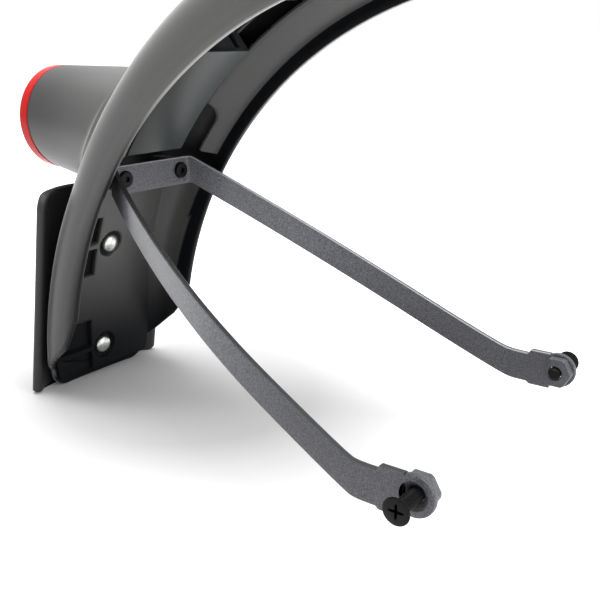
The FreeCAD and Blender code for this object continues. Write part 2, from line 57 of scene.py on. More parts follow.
# the circle that the rims follow, seen from the side, and the moulded arch: the sideways share and the
# height share, each raised to a power, add up to one; the power grows at the lower end
arc = {"x": -10.0, "z": -24.2, "rim": 176.6, "half": 37.0, "tall": 28.0, "wall": 2.8, "power": 3.0,
       "squarePower": 4.3, "squareAngle": 6.0, "roundAngle": 28.0}


# point at an angle up from the rear, a sideways place and a distance from the arc's centre
def at(angle, y, radius):
    a = np.radians(angle)
    x = arc["x"] - radius * np.cos(a)
    z = arc["z"] + radius * np.sin(a)
    return np.stack(np.broadcast_arrays(x, y, z), axis=-1)


def archPower(angle):
    part = np.clip((angle - arc["squareAngle"]) / (arc["roundAngle"] - arc["squareAngle"]), 0, 1)
    return arc["squarePower"] + (arc["power"] - arc["squarePower"]) * part


# height of the arch over the rim at a sideways place, for a skin moved in by an inset
def archHeight(y, angle, inset):
    power = archPower(angle)
    share = np.clip(np.abs(y) / (arc["half"] - inset), 0, 1)
    return (arc["tall"] - inset) * (1 - share ** power) ** (1 / power)


# quads of a grid of points; across closes the second direction
def grid(points, across=True):
    nu, nv = points.shape[:2]
    i, j = np.meshgrid(np.arange(nu - 1), np.arange(nv if across else nv - 1), indexing="ij")
    k = (j + 1) % nv
    quads = np.stack([i * nv + j, (i + 1) * nv + j, (i + 1) * nv + k, i * nv + k], axis=-1)
    return points.reshape(-1, 3), quads.reshape(-1, 4)


# a closed loop carried along a path, shut at both ends on the loops' middles
def closedSweep(rows):
    first = np.broadcast_to(rows[0].mean(0), rows[0].shape)[None]
    last = np.broadcast_to(rows[-1].mean(0), rows[-1].shape)[None]
    return grid(np.concatenate([first, rows, last]))


# a profile of (distance along, radius) pairs turned about an axis; poles are shut by merging
def lathe(origin, direction, profile, steps=64, wrap=False):
    axis = np.array(direction, float) / np.linalg.norm(direction)
    side = np.cross(axis, (0.0, 1.0, 0.0) if abs(axis[1]) < 0.9 else (1.0, 0.0, 0.0))
    side /= np.linalg.norm(side)
    other = np.cross(axis, side)
    profile = np.array(profile + profile[:1] if wrap else profile, float)
    phi = np.linspace(0, 2 * np.pi, steps, endpoint=False)
    around = np.cos(phi)[:, None] * side + np.sin(phi)[:, None] * other
    rows = profile[:, 0, None, None] * axis + profile[:, 1, None, None] * around
    return grid(np.array(origin, float) + rows)


# rings about an axis: each ring has a radius and a depth for every angle; closed joins the last to the first
def ringLoft(origin, first, second, normal, rings, phi, closed=True):
    steps = len(phi)
    first, second, normal = (np.array(v, float) for v in (first, second, normal))
    around = np.cos(phi)[:, None] * first + np.sin(phi)[:, None] * second
    rows = [np.array(origin) + np.asarray(r)[:, None] * around + (np.zeros(steps) + d)[:, None] * normal
            for r, d in rings]
    return grid(np.array(rows + rows[:1] if closed else rows))


# rounded box outline in two directions, corner by corner
def roundedLoop(low, high, corner, steps=4):
    a = np.linspace(0, np.pi / 2, steps)
    turns = [a, a + np.pi / 2, a + np.pi, a + 3 * np.pi / 2]
    middles = [(high[0], high[1]), (low[0], high[1]), (low[0], low[1]), (high[0], low[1])]
    loop = []
    for turn, middle in zip(turns, middles):
        inward = np.sign(np.array(low) + np.array(high) - 2 * np.array(middle)) * corner
        loop.append(np.stack([np.cos(turn), np.sin(turn)], axis=-1) * corner + middle + inward)
    return np.concatenate(loop)


# block between two radii, sideways places and angles, with rounded edges
def ringBlock(radii, sides, angles, corner=0.5, steps=24):
    loop = roundedLoop((sides[0], radii[0]), (sides[1], radii[1]), corner)
    middle = loop.mean(0)
    inset = np.degrees(corner / radii[1])
    a = np.linspace(angles[0] + inset, angles[1] - inset, steps)
    rows = [at(t, loop[:, 0], loop[:, 1]) for t in a]
    small = middle + (loop - middle) * (1 - 2 * corner / np.ptp(loop, axis=0).max())
    rows = [at(angles[0], small[:, 0], small[:, 1])] + rows + [at(angles[1], small[:, 0], small[:, 1])]
    return closedSweep(np.array(rows))


def smoothStep(low, high, x):
    t = np.clip((x - low) / (high - low), 0, 1)
    return t * t * (3 - 2 * t)


# the larger of two values with a rounded change-over
def softMax(a, b, width):
    return 0.5 * (a + b + np.sqrt((a - b) ** 2 + width ** 2))


# joins parts into one object that rides on the only body and stands for a node
def makePiece(name, parts, material, node, sharp=38, shade=None):
    points = np.concatenate([p for p, _ in parts]) * mm
    starts = np.cumsum([0] + [len(p) for p, _ in parts])
    faces = np.concatenate([f + s for (_, f), s in zip(parts, starts)])
    mesh = bpy.data.meshes.new(name)
    mesh.from_pydata(points.tolist(), [], faces.tolist())
    if shade is not None:
        mesh.attributes.new("shade", "FLOAT", "POINT").data.foreach_set("value", shade.astype(np.float32))
    work = bmesh.new()
    work.from_mesh(mesh)
    bmesh.ops.remove_doubles(work, verts=work.verts, dist=1e-6)
    bmesh.ops.dissolve_degenerate(work, edges=work.edges, dist=1e-7)
    bmesh.ops.recalc_face_normals(work, faces=work.faces)
    work.to_mesh(mesh)
    work.free()
    mesh.shade_smooth()
    mesh.set_sharp_from_angle(angle=math.radians(sharp))
    mesh.materials.append(material)
    piece = bpy.data.objects.new(name, mesh)
    bpy.context.scene.collection.objects.link(piece)
    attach(piece, "root")
    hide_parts(node)
    return piece


# sRGB hex to the linear colour that a shader takes
def linear(code):
    channels = [int(code[i:i + 2], 16) / 255 for i in (1, 3, 5)]
    return [c / 12.92 if c <= 0.04045 else ((c + 0.055) / 1.055) ** 2.4 for c in channels] + [1.0]


# one node with its settings; an input is a value, or a (node, output) pair to link from
def addNode(tree, kind, inputs=None, **settings):
    node = tree.nodes.new(kind)
    for key, value in settings.items():
        setattr(node, key, value)
    for key, value in (inputs or {}).items():
        if isinstance(value, tuple) and isinstance(value[0], bpy.types.Node):
            tree.links.new(value[0].outputs[value[1]], node.inputs[key])
        else:
            node.inputs[key].default_value = value
    return node


# shared start of every finish: two tones mixed by a patch pattern, fine grain in bump and roughness;
# patch, grain and bump depth are in millimetres, and grain is drawn coarser than real so that it shows
def moulded(name, tones, patch, grain, rough, bump, extra=None):
    material = bpy.data.materials.new(name)
    material.use_nodes = True
    tree = material.node_tree
    tree.nodes.clear()
    place = addNode(tree, "ShaderNodeTexCoord")
    big = addNode(tree, "ShaderNodeTexNoise", {"Vector": (place, "Object"), "Scale": 1 / (patch * mm),
                                               "Detail": 3.0, "Roughness": 0.6})
    fine = addNode(tree, "ShaderNodeTexNoise", {"Vector": (place, "Object"), "Scale": 1 / (grain * mm),
                                                "Detail": 2.0, "Roughness": 0.55})
    tone = addNode(tree, "ShaderNodeMix", {"Factor": (big, "Fac"), "A": linear(tones[0]),
                                           "B": linear(tones[1])}, data_type="RGBA")
    roughness = addNode(tree, "ShaderNodeMapRange", {"Value": (fine, "Fac"), "From Min": 0.3, "From Max": 0.7,
                                                     "To Min": rough[0], "To Max": rough[1]})
    relief = addNode(tree, "ShaderNodeBump", {"Height": (fine, "Fac"), "Strength": bump[0],
                                              "Distance": bump[1] * mm})
    shader = addNode(tree, "ShaderNodeBsdfPrincipled", {"Base Color": (tone, "Result"),
                                                        "Roughness": (roughness, "Result"),
                                                        "Normal": (relief, "Normal")})
    for key, value in (extra or {}).items():
        shader.inputs[key].default_value = value
    addNode(tree, "ShaderNodeOutputMaterial", {"Surface": (shader, "BSDF")})
    return material, tree, shader, tone, fine


# polypropylene from a spark-eroded mould: satin grey, a fine even grain, paler sheen at a low angle
shellPlastic, shellTree, shellShader, shellTone, _ = moulded(
    "polypropyleneMoulded", ("#525150", "#5b5a59"), 30, 0.5, (0.34, 0.44), (0.10, 0.05),
    {"IOR": 1.49, "Coat Roughness": 0.28, "Sheen Roughness": 0.30})
# painted shade: inside faces, walls, roof ribs, pad, pockets and the barrel's mouth end are darkened where
# shade falls, and so is the outer skin low down towards the rim; the rim's inner band is darkest; the rim's
# edge gets a painted highlight; shares of the dark tone, or of the pale tone where below zero
darkness = {"inside": 0.93, "padTop": 0.15, "padLow": 0.97, "band": 0.97, "pocket": 0.97, "rim": -0.75,
            "barrel": 0.55, "paintedOuterShade": 0.85, "wall": 0.22, "roof": 0.74}
mask = addNode(shellTree, "ShaderNodeAttribute", attribute_name="shade")
insideTone = addNode(shellTree, "ShaderNodeMix", {"Factor": (mask, "Fac"), "A": (shellTone, "Result"),
                                                  "B": linear("#0c0e12")}, data_type="RGBA")
paleMask = addNode(shellTree, "ShaderNodeMath", {0: (mask, "Fac"), 1: -1.0}, operation="MULTIPLY",
                   use_clamp=True)
rimTone = addNode(shellTree, "ShaderNodeMix", {"Factor": (paleMask, 0), "A": (insideTone, "Result"),
                                               "B": linear("#bdbcba")}, data_type="RGBA")
shellTree.links.new(rimTone.outputs["Result"], shellShader.inputs["Base Color"])
# gloss, coat and sheen fall away with the painted shade, as reflections do where shade falls
gloss = addNode(shellTree, "ShaderNodeMapRange", {"Value": (mask, "Fac"), "To Min": 0.5, "To Max": 0.06})
shellTree.links.new(gloss.outputs["Result"], shellShader.inputs["Specular IOR Level"])
coat = addNode(shellTree, "ShaderNodeMapRange", {"Value": (mask, "Fac"), "To Min": 0.25, "To Max": 0.0})
shellTree.links.new(coat.outputs["Result"], shellShader.inputs["Coat Weight"])
sheenShare = addNode(shellTree, "ShaderNodeMapRange", {"Value": (mask, "Fac"), "To Min": 0.85, "To Max": 0.0})
shellTree.links.new(sheenShare.outputs["Result"], shellShader.inputs["Sheen Weight"])

# the same plastic from a smoother tool; its tones are a little darker, partly as painted shade inside the
# arch
coverPlastic, coverTree, coverShader, coverTone, _ = moulded(
    "polypropyleneSmooth", ("#3c4142", "#434849"), 24, 0.4, (0.34, 0.42), (0.06, 0.04), {"IOR": 1.49})
coverMask = addNode(coverTree, "ShaderNodeAttribute", attribute_name="shade")
coverDark = addNode(coverTree, "ShaderNodeMix", {"Factor": (coverMask, "Fac"), "A": (coverTone, "Result"),
                                                 "B": linear("#08090a")}, data_type="RGBA")
coverTree.links.new(coverDark.outputs["Result"], coverShader.inputs["Base Color"])

# epoxy powder coat baked on steel: dark grey with pale specks and a faint orange peel
powderCoat, coatTree, coatShader, coatTone, coatGrain = moulded(
    "powderCoatSpeckled", ("#4b4c52", "#56575d"), 18, 0.55, (0.34, 0.56), (0.45, 0.10), {"IOR": 1.5})
speck = addNode(coatTree, "ShaderNodeMapRange", {"Value": (coatGrain, "Fac"), "From Min": 0.30,
                                                 "From Max": 0.72, "To Min": 0.0, "To Max": 1.0})
speckTone = addNode(coatTree, "ShaderNodeMix", {"Factor": (speck, "Result"), "A": linear("#222329"),
                                                "B": linear("#a8a9b1")}, data_type="RGBA")
coatMix = addNode(coatTree, "ShaderNodeMix", {"Factor": 0.65, "A": (coatTone, "Result"),
                                              "B": (speckTone, "Result")}, data_type="RGBA")
# painted shade where the mask is positive: a dark line on the top edge, the bends, inside the arch and
# towards the lugs; painted highlight where it is negative: a pale line on the top edge and the arms near the
# bend
coatMask = addNode(coatTree, "ShaderNodeAttribute", attribute_name="shade")
coatDark = addNode(coatTree, "ShaderNodeMix", {"Factor": (coatMask, "Fac"), "A": (coatMix, "Result"),
                                               "B": linear("#0e0e10")}, data_type="RGBA")
coatPale = addNode(coatTree, "ShaderNodeMath", {0: (coatMask, "Fac"), 1: -1.0}, operation="MULTIPLY",
                   use_clamp=True)
coatEdge = addNode(coatTree, "ShaderNodeMix", {"Factor": (coatPale, 0), "A": (coatDark, "Result"),
                                               "B": linear("#d8d8da")}, data_type="RGBA")
coatTree.links.new(coatEdge.outputs["Result"], coatShader.inputs["Base Color"])

# compression-moulded rubber: near black, dull, a little dusty
flapRubber = moulded("rubberMoulded", ("#1d1c1e", "#262426"), 16, 0.6, (0.50, 0.66), (0.25, 0.06),
                     {"IOR": 1.52})[0]
# zinc plate on steel: pale, softly mirrored, with fine tumbling marks
zincPlate = moulded("zincPlatedSteel", ("#c6cac4", "#d6d8d3"), 4, 0.5, (0.24, 0.36), (0.08, 0.03),
                    {"Metallic": 1.0})[0]
# black zinc on the screws: dark, slightly oily mirror
blackZinc = moulded("blackZincSteel", ("#060607", "#0b0b0c"), 3, 0.4, (0.28, 0.40), (0.10, 0.03),
                    {"IOR": 1.5, "Specular IOR Level": 0.12})[0]
# turned brass of the thread inserts: warm yellow with a bright cut face
brassTurned = moulded("brassTurned", ("#b5964e", "#c8aa60"), 4, 0.3, (0.25, 0.35), (0.05, 0.02),
                      {"Metallic": 1.0})[0]
# clear red acrylic: saturated, glossy, light passes through it
lensAcrylic = moulded("acrylicRed", ("#e00c0c", "#ea1410"), 14, 0.9, (0.14, 0.22), (0.02, 0.02),
                      {"IOR": 1.49, "Transmission Weight": 0.12, "Specular IOR Level": 0.14})[0]
# white solder mask on the lamp board: an even satin white
boardMask = moulded("solderMaskWhite", ("#dfe2dc", "#ebede8"), 6, 0.5, (0.40, 0.50), (0.05, 0.02),
                    {"IOR": 1.5})[0]
# phosphor resin of the light-emitting diodes: waxy yellow
ledResin = moulded("phosphorResin", ("#e0c45c", "#ecd67c"), 1.5, 0.3, (0.25, 0.35), (0.05, 0.02),
                   {"IOR": 1.53})[0]
# metal vapour on the plastic reflector: almost a mirror
reflectorMetal = moulded("aluminisedPlastic", ("#d2d3d4", "#dcdddd"), 8, 0.6, (0.08, 0.14), (0.02, 0.02),
                         {"Metallic": 1.0})[0]
print("finishes made")

# Shell skin: the arch outline, a rounded rim, the inner arch and a rounded rim, carried round the arc.
# The lower end is cut by a bent line at the sides and by a level line with round corners in the middle.
# the pocket keys place painted shade up in the roof, the outer angles place painted shade on the outer skin
# low down, and the rim angles a painted highlight along the rim's edge
skin = {"across": 97, "along": 160, "tipSteps": 5, "frontAngle": 96.0, "endAngle": -1.6, "endHalf": 29.0,
        "endCorner": 9.0, "endZ": -29.9, "taperRadii": (176.5, 182.6, 201.5),
        "taperAngles": (11.5, 6.35, 0.91), "bead": 0.4, "beadTall": (3.4, 4.2), "band": 4.2, "bandGrow": 2.4,
        "pocketHeight": (14.0, 17.0), "pocketAngle": 33.0, "lowFade": (28.0, 30.0), "paintedOuterShadeAngle": (8.0, 62.0),
        "rimHighlightAngle": (34.0, 54.0)}


# lowest angle of the wall at a sideways place and radius
def endAngle(y, radius):
    side = np.abs(y)
    taper = np.interp(radius, skin["taperRadii"], skin["taperAngles"])
    k = skin["endCorner"]
    over = np.clip(side - skin["endHalf"] + k, 0, k)
    low = skin["endZ"] + k - np.sqrt(k ** 2 - over ** 2)
    level = np.maximum(skin["endAngle"], np.degrees(np.arcsin((low - arc["z"]) / radius)))
    return level + (taper - level) * smoothStep(skin["endHalf"] - 0.6, skin["endHalf"] + 0.8, side)


# outline of the wall at each angle and the middle line of its thickness
def skinSection(angle):
    t = np.linspace(0, np.pi, skin["across"])
    power = 2 / archPower(angle)
    wide, high = np.sign(np.cos(t)) * np.abs(np.cos(t)) ** power, np.abs(np.sin(t)) ** power
    lines = []
    for inset in (0.0, arc["wall"]):
        y, h = (arc["half"] - inset) * wide, (arc["tall"] - inset) * high
        if inset == 0:
            y = y + np.sign(wide) * skin["bead"] * smoothStep(skin["beadTall"][1], skin["beadTall"][0], h)
        lines.append(np.stack([y, arc["rim"] + h], axis=-1))
    outer, inner = lines
    middle = (outer + inner) / 2
    a = np.linspace(0, np.pi, skin["tipSteps"] + 2)[1:-1, None]
    dip = -np.sin(a) * arc["wall"] / 3 * np.array([0.0, 1.0])
    tips = [middle[i] + sign * (outer[i] - middle[i]) * np.cos(a) + dip
            for i, sign in ((-1, 1), (0, -1))]
    loop = np.concatenate([outer, tips[0], inner[::-1], tips[1]])
    spine = np.concatenate([middle, 0 * tips[0] + middle[-1], middle[::-1], 0 * tips[1] + middle[0]])
    return loop, spine


# the section at each angle, moved to its place round the arc, and the painted shade of each point
def shellSkin():
    loop, spine = skinSection(np.array(skin["endAngle"]))
    halfWall = np.degrees(arc["wall"] / 2 / loop[:, 1])
    start = endAngle(spine[:, 0], spine[:, 1]) + halfWall
    stop = skin["frontAngle"] - halfWall
    u = np.linspace(0, 1, skin["along"])
    turn = np.radians([90, 60, 30])
    theta = np.concatenate([start - halfWall * np.sin(turn)[:, None], start + (stop - start) * u[:, None],
                            stop + halfWall * np.sin(turn[::-1])[:, None]])
    shrink = np.concatenate([np.cos(turn), np.ones_like(u), np.cos(turn[::-1])])
    rows = []
    for row, scale in zip(theta, shrink):
        edge, core = skinSection(row.mean())
        rows.append(core + (edge - core) * scale)
    section = np.array(rows)
    height = section[..., 1] - arc["rim"]
    index = np.arange(loop.shape[0])
    innerStart = skin["across"] + skin["tipSteps"]
    isInner = (index >= innerStart - 1) & (index <= innerStart + skin["across"])
    # painted shade on the inner faces, darkest in the rim's inner band; low down it follows the pad's painted
    # shade
    shade = np.full(height.shape, darkness["inside"])
    low = 1 - smoothStep(*skin["lowFade"], theta)
    isBand = height < skin["band"] + skin["bandGrow"] * low
    shade = np.where(isBand, darkness["band"], shade)
    # painted shade up in the roof, behind the cover
    pocket = smoothStep(*skin["pocketHeight"], height) * smoothStep(0, 1, theta - skin["pocketAngle"])
    shade = shade + (darkness["roof"] - shade) * pocket
    # painted shade on the outer skin, darkest low down and towards the rim
    paintedOuterShade = darkness["paintedOuterShade"] * (1 - smoothStep(*skin["paintedOuterShadeAngle"], theta))
    paintedOuterShade = paintedOuterShade * np.clip(1 - height / arc["tall"], 0, 1)
    shade = np.where(isInner, shade + (padShade(theta) - shade) * low * ~isBand, paintedOuterShade)
    # painted highlight along the rim's edge high up, turning to painted shade low down
    isRim = (index >= skin["across"] + 1) & (index < innerStart - 2)
    isRim |= (index > innerStart + skin["across"]) & (index < len(loop) - 1)
    rimHighlight = smoothStep(*skin["rimHighlightAngle"], theta)
    shade = np.where(isRim, darkness["rim"] * rimHighlight + darkness["paintedOuterShade"] * (1 - rimHighlight), shade)
    points, faces = grid(at(theta, section[..., 0], section[..., 1]))
    return points, faces, shade.ravel()


# Splash walls: a thin sloping plate with a round nose, carried round the arc from the side wall to the
# cover; the left one draws back in an oval for the cable
splash = {"foot": 35.6, "low": 180.8, "edge": 17.2, "radius": 188.4, "thick": 2.2, "angles": (34.8, 88.0),
          "slotHalf": 26.0, "slotTop": 42.5, "slotRound": 3.0, "rows": 150}


def splashWall(side):
    theta = np.linspace(*splash["angles"], splash["rows"])
    past = np.clip((theta - splash["slotTop"] + splash["slotRound"]) / splash["slotRound"], 0, 1)
    bulge = np.sqrt(1 - past ** 2)
    edge = splash["edge"] + (splash["slotHalf"] - splash["edge"]) * bulge * (side > 0)
    slope = (splash["radius"] - splash["low"]) / (splash["foot"] - splash["edge"])
    half = splash["thick"] / 2
    a = np.linspace(-np.pi / 2, np.pi / 2, 7)
    noseY = edge[:, None] + half - half * np.cos(a)
    noseR = splash["low"] + half + (splash["foot"] - noseY) * slope + half * np.sin(a)
    foot = np.full((splash["rows"], 1), splash["foot"])
    y = np.concatenate([foot, noseY, foot], axis=1)
    low = np.full_like(foot, splash["low"])
    r = np.concatenate([low, noseR, low + splash["thick"]], axis=1)
    return closedSweep(at(theta[:, None], side * y, r))


# Lamp barrel: a cone about the lamp axis with a rounded mouth, a hollow, and a fillet where it meets
# the arch
barrel = {"mouth": (-219.8, 0.0, 95.5), "root": (-150.0, 0.0, 88.9), "mouthR": 23.5, "rootR": 30.0,
          "wall": 2.4, "fillet": 3.0, "sunk": 0.5, "edge": 0.5, "depth": 0.32, "mouthShare": 0.004,
          "around": 128, "along": 40, "shadeReach": 0.8}


# height of a point above the arched skin, from its share of the arch's outline
def aboveArch(p):
    h = np.hypot(p[..., 0] - arc["x"], p[..., 2] - arc["z"]) - arc["rim"]
    power = arc["power"]
    share = (np.abs(p[..., 1]) / arc["half"]) ** power + (np.maximum(h, 0) / arc["tall"]) ** power
    return (share ** (1 / power) - 1) * arc["tall"]


# point of the cone at a share of its length and an angle, swollen or scaled across
def barrelPoint(t, phi, swell, scale=1.0):
    mouth, root = np.array(barrel["mouth"]), np.array(barrel["root"])
    radius = (barrel["mouthR"] + (barrel["rootR"] - barrel["mouthR"]) * t) * scale + swell
    centre = mouth + (root - mouth) * t[..., None]
    return centre + np.stack([0 * radius, radius * np.cos(phi), radius * np.sin(phi)], axis=-1)


# halving search for how far along the axis a line reaches a given height above the arch
def barrelReach(phi, height, scale, swell=0.0):
    low, high = np.zeros_like(phi), np.ones_like(phi)
    for _ in range(28):
        middle = (low + high) / 2
        isBelow = aboveArch(barrelPoint(middle, phi, 0 * phi + swell, scale)) < height
        low, high = np.where(isBelow, low, middle), np.where(isBelow, middle, high)
    return high


# rows from the hollow's floor out over the mouth, along the cone to the arch, and under the skin to a cap
def lampBarrel():
    phi = np.linspace(0, 2 * np.pi, barrel["around"], endpoint=False)
    reach = barrelReach(phi, -barrel["sunk"], 1.0)
    share = np.linspace(0, 1, barrel["along"])[:, None]
    t = barrel["mouthShare"] + (reach - barrel["mouthShare"]) * share
    ring = np.broadcast_to(phi, t.shape)
    lift = np.clip(aboveArch(barrelPoint(t, ring, 0 * t)), 0, barrel["fillet"])
    swell = barrel["fillet"] - np.sqrt(barrel["fillet"] ** 2 - (barrel["fillet"] - lift) ** 2)
    outer = barrelPoint(t, ring, swell)
    foot = barrelReach(phi, -barrel["sunk"], 1.0, barrel["fillet"])
    cap = [barrelPoint(np.maximum(foot, reach), phi, 0 * phi + barrel["fillet"])]
    for scale in (0.8, 0.5, 0.2, 0.0):
        cap.append(barrelPoint(barrelReach(phi, -arc["wall"] / 2, scale), phi, 0 * phi, scale))
    inner = []
    flat = np.zeros_like(phi)
    for depth, inset in ((barrel["depth"], None), (barrel["depth"], barrel["wall"]),
                         (barrel["mouthShare"], barrel["wall"]), (0.0, barrel["wall"] - barrel["edge"]),
                         (0.0, barrel["edge"])):
        scale = 0.0 if inset is None else 1.0
        inner.append(barrelPoint(flat + depth, phi, flat - (inset or 0.0), scale))
    points, faces = grid(np.concatenate([np.array(inner), outer, np.array(cap)]))
    # painted shade: darkest at the mouth, fading along the cone
    along = (points[:, 0] - barrel["mouth"][0]) / (barrel["root"][0] - barrel["mouth"][0])
    return points, faces, darkness["barrel"] * (1 - smoothStep(0.0, barrel["shadeReach"], along))


# Flap and rivet places, shared by the pad
flap = {"thick": 4.2, "half": 39.0, "flat": 15.0, "sweep": 9.0, "top": 67.0, "bottom": -29.0, "corner": 7.0,
        "lowCorner": 3.0, "place": (-211.8, 12.0), "lean": 10.1, "edge": 1.3, "across": 70, "up": 90}
rivet = {"heights": (39.8, -13.6), "depths": (8.4, 7.4), "headR": 4.5, "headTall": 3.2, "shankR": 2.4,
         "tailR": 4.0, "tailTall": 2.0, "washer": 1.0}
flapTurn = math.radians(flap["lean"])
flapNormal = np.array([-math.cos(flapTurn), 0.0, math.sin(flapTurn)])


# seat of each rivet head, inside the flap by its depth
def rivetSeats():
    seats = []
    for z, depth in zip(rivet["heights"], rivet["depths"]):
        x = flap["place"][0] + (z - flap["place"][1]) * math.tan(flapTurn)
        seats.append(np.array([x, 0.0, z]) - flapNormal * depth)
    return seats


# Pad inside the lower end: distance from the arc's centre as a function of angle and sideways place,
# level but for pockets on the right of the rivets and round seats for the rivet heads
pad = {"radius": 197.4, "half": 31.0, "angles": (-0.3, 28.7), "floor": 199.8, "pocket": (-27.0, -8.0),
       "pocketTurn": 4.35, "rib": 0.32, "wall": 0.35, "seatR": 6.5, "rows": 170, "columns": 124, "inset": 0.5,
       "fade": (2.0, 21.0)}


# painted shade of the pad and of the skin beside it, darker towards the lower end
def padShade(theta):
    return darkness["padLow"] + (darkness["padTop"] - darkness["padLow"]) * smoothStep(*pad["fade"], theta)


# rows of the pad's face and of its back, which lies in the middle of the skin's wall
def flapPad():
    y = np.linspace(-pad["half"], pad["half"], pad["columns"])
    low = np.maximum(pad["angles"][0], endAngle(y, np.full_like(y, pad["radius"])) + pad["inset"])
    theta = low + (pad["angles"][1] - low) * np.linspace(0, 1, pad["rows"])[:, None]
    height = np.zeros_like(theta) + pad["radius"]
    shade = padShade(theta)
    edge = pad["wall"]
    for seat in rivetSeats():
        dx, dz = arc["x"] - seat[0], seat[2] - arc["z"]
        angle, level = math.degrees(math.atan2(dz, dx)), math.hypot(dx, dz)
        near = smoothStep(pad["pocket"][0] - edge, pad["pocket"][0] + edge, y)
        near = near * smoothStep(pad["pocket"][1] + edge, pad["pocket"][1] - edge, y)
        away = np.abs(theta - angle)
        span = smoothStep(pad["pocketTurn"] + edge / 3, pad["pocketTurn"] - edge / 3, away)
        span = span * smoothStep(pad["rib"], pad["rib"] + edge / 1.5, away) * near
        # the pockets and the rivet seats sink and take painted shade
        height += (pad["floor"] - height) * span
        shade += (darkness["pocket"] - shade) * span
        reach = np.hypot(np.radians(theta - angle) * pad["radius"], y)
        ring = smoothStep(pad["seatR"] + edge, pad["seatR"] - edge, reach)
        height += (level - height) * ring
        shade += (darkness["pocket"] - shade) * ring
    top = at(theta, y, height)
    back = at(theta, y, arc["rim"] + archHeight(y, theta, arc["wall"] / 2))
    points, faces = closedSweep(np.concatenate([top, back[:, ::-1]], axis=1))
    rows = np.concatenate([shade, shade[:, ::-1]], axis=1)
    return points, faces, np.concatenate([rows[:1], rows, rows[-1:]]).ravel()


# Ribs, bosses and posts inside the arch, and the fixing tongue in front
inside = {"archTop": 204.6, "ribInner": 192.8, "ribWide": 1.0, "longRibs": (-9.0, 7.0),
          "longAngles": (54.3, 88.0), "crossRibs": (61.3, 74.5, 88.0), "crossHalf": 20.0, "crossTurn": 0.29,
          "stayBack": -169.0, "stayY": 16.8, "stayZ": 73.4, "stayBossR": 5.5, "insertR": 3.2,
          "insertDeep": 8.0, "stayBossLong": 18.0, "coverR": 190.4, "coverPosts": (38.0, 50.1),
          "coverPostY": -6.0, "coverPostR": 3.5, "coverPostLong": 12.4}
tongue = {"root": 1.4, "tip": 41.39, "half": 17.0, "top": 178.08, "thick": 4.0, "holeX": 30.39, "holeY": 9.0,
          "holeR": 2.75, "corner": 6.0, "edge": 0.4, "seam": 0.002, "steps": 96}


# ribs are blocks along or across the arc, bosses and posts are turned profiles
def innerPieces():
    parts = []
    buried = inside["archTop"] - arc["wall"] / 2
    for y in inside["longRibs"]:
        sides = (y - inside["ribWide"], y + inside["ribWide"])
        parts.append(ringBlock((inside["ribInner"], buried - 1.2), sides, inside["longAngles"], 0.4, 60))
    depth = arc["rim"] + archHeight(inside["crossHalf"], inside["crossRibs"][0], arc["wall"] / 2)
    for a in inside["crossRibs"]:
        parts.append(ringBlock((inside["ribInner"], depth), (-inside["crossHalf"], inside["crossHalf"]),
                               (a - inside["crossTurn"], a + inside["crossTurn"]), 0.3, 4))
    for side in (-1, 1):
        foot = (inside["stayBack"], side * inside["stayY"], inside["stayZ"])
        outerR, holeR = inside["stayBossR"], inside["insertR"]
        deep, long = inside["insertDeep"], inside["stayBossLong"]
        boss = [(deep, 0.0), (deep, holeR), (0.2, holeR), (0.0, holeR + 0.2), (0.0, outerR - 0.3),
                (0.3, outerR), (long, outerR), (long, 0.0)]
        parts.append(lathe(foot, (-1, 0, 0), boss))
    for a in inside["coverPosts"]:
        post = at(a, inside["coverPostY"], inside["coverR"])
        outward = at(a, 0.0, 1.0) - at(a, 0.0, 0.0)
        r, long = inside["coverPostR"], inside["coverPostLong"]
        parts.append(lathe(post, outward, [(0.0, 0.0), (0.0, r - 0.3), (0.3, r), (long, r), (long, 0.0)]))
    return parts


# half of the tongue: rings from a hole out to the sides of a rectangle with one rounded corner; the halves
# stop a hair short of the middle, so that they don't merge there
def tongueHalf(side):
    phi = np.linspace(0, 2 * np.pi, tongue["steps"], endpoint=False)
    toRoot, toTip = tongue["root"] - tongue["holeX"], tongue["tip"] - tongue["holeX"]
    toSide, toMiddle = tongue["half"] - tongue["holeY"], tongue["holeY"]
    corners = np.arctan2([-toMiddle, -toMiddle, toSide], [toRoot, toTip, toRoot]) % (2 * np.pi)
    phi = np.sort(np.concatenate([phi, corners]))
    c, s = np.cos(phi), np.sin(phi)
    limits = np.stack([np.where(c > 0, toTip / np.maximum(c, 1e-6), toRoot / np.minimum(c, -1e-6)),
                       np.where(s > 0, toSide / np.maximum(s, 1e-6),
                                (toMiddle - tongue["seam"]) / np.maximum(-s, 1e-6))])
    reach = limits.min(0)
    x, y = reach * c + tongue["holeX"], reach * s + tongue["holeY"]
    k = tongue["corner"]
    over = np.hypot(np.maximum(x - tongue["tip"] + k, 0), np.maximum(y - tongue["half"] + k, 0))
    reach = np.where(over > k, reach - (over - k), reach)
    e = np.where((s < -0.2) & (np.abs(y) < 0.01), 0.0, tongue["edge"])
    hole = np.zeros_like(phi) + tongue["holeR"]
    thick = tongue["thick"]
    rings = [(hole, 0.3), (hole + 0.3, 0.0), (reach - e, 0.0), (reach, e), (reach, thick - e),
             (reach - e, thick), (hole + 0.3, thick), (hole, thick - 0.3)]
    place = (tongue["holeX"], side * tongue["holeY"], tongue["top"])
    return ringLoft(place, (1, 0, 0), (0, side, 0), (0, 0, -1), rings, phi)


# a part with one shade on all its points
def shaded(part, share):
    return part + (np.full(len(part[0]), share),)


# a piece whose parts each bring the shade of their points
def makeShaded(name, parts, material, node, sharp=38):
    return makePiece(name, [part[:2] for part in parts], material, node, sharp,
                     np.concatenate([part[2] for part in parts]))


shellParts = [shellSkin(), lampBarrel(), flapPad()]
